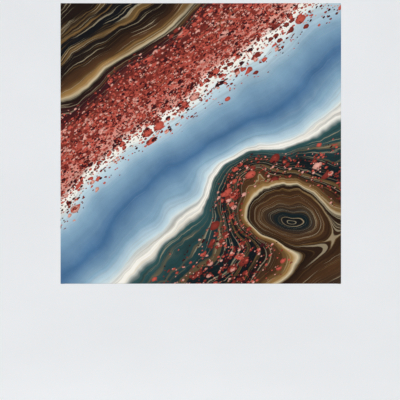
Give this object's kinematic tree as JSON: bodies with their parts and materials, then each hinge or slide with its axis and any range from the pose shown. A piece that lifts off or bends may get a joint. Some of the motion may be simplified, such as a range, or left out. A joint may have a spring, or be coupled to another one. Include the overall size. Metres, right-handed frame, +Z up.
{
  "type": "stretched canvas wall print",
  "caption": "Square wall print of cloth stretched over a mitred pine frame, with crossed braces, corner blocks, sawtooth hangers and rubber bumpers.",
  "frame": {"origin": "middle of the frame's back, on the wall side of the level brace where the two braces cross", "axes": "+Z up, the print faces -Y, +Y points at the wall, +X is to the right seen from the front"},
  "size_m": [1.1, 0.0422, 1.1],
  "materials": {
    "printed_cloth": "matt woven cloth with an all-over printed pattern in blues, cream, coral and umber",
    "pine": "planed, bare",
    "plated_steel": "zinc plated, satin",
    "rubber": "matt"
  },
  "bodies": {
    "root": {"canvas": "printed_cloth", "bar_top": "pine", "bar_right": "pine", "bar_bottom": "pine", "bar_left": "pine", "brace_level": "pine", "brace_upright": "pine", "corner_block_top_right": "pine", "corner_block_bottom_right": "pine", "corner_block_bottom_left": "pine", "corner_block_top_left": "pine", "hanger_left": "plated_steel", "hanger_right": "plated_steel", "hanger_nail_1": "plated_steel", "hanger_nail_2": "plated_steel", "hanger_nail_3": "plated_steel", "hanger_nail_4": "plated_steel", "bumper_left": "rubber", "bumper_right": "rubber"}
  },
  "joints": []
}
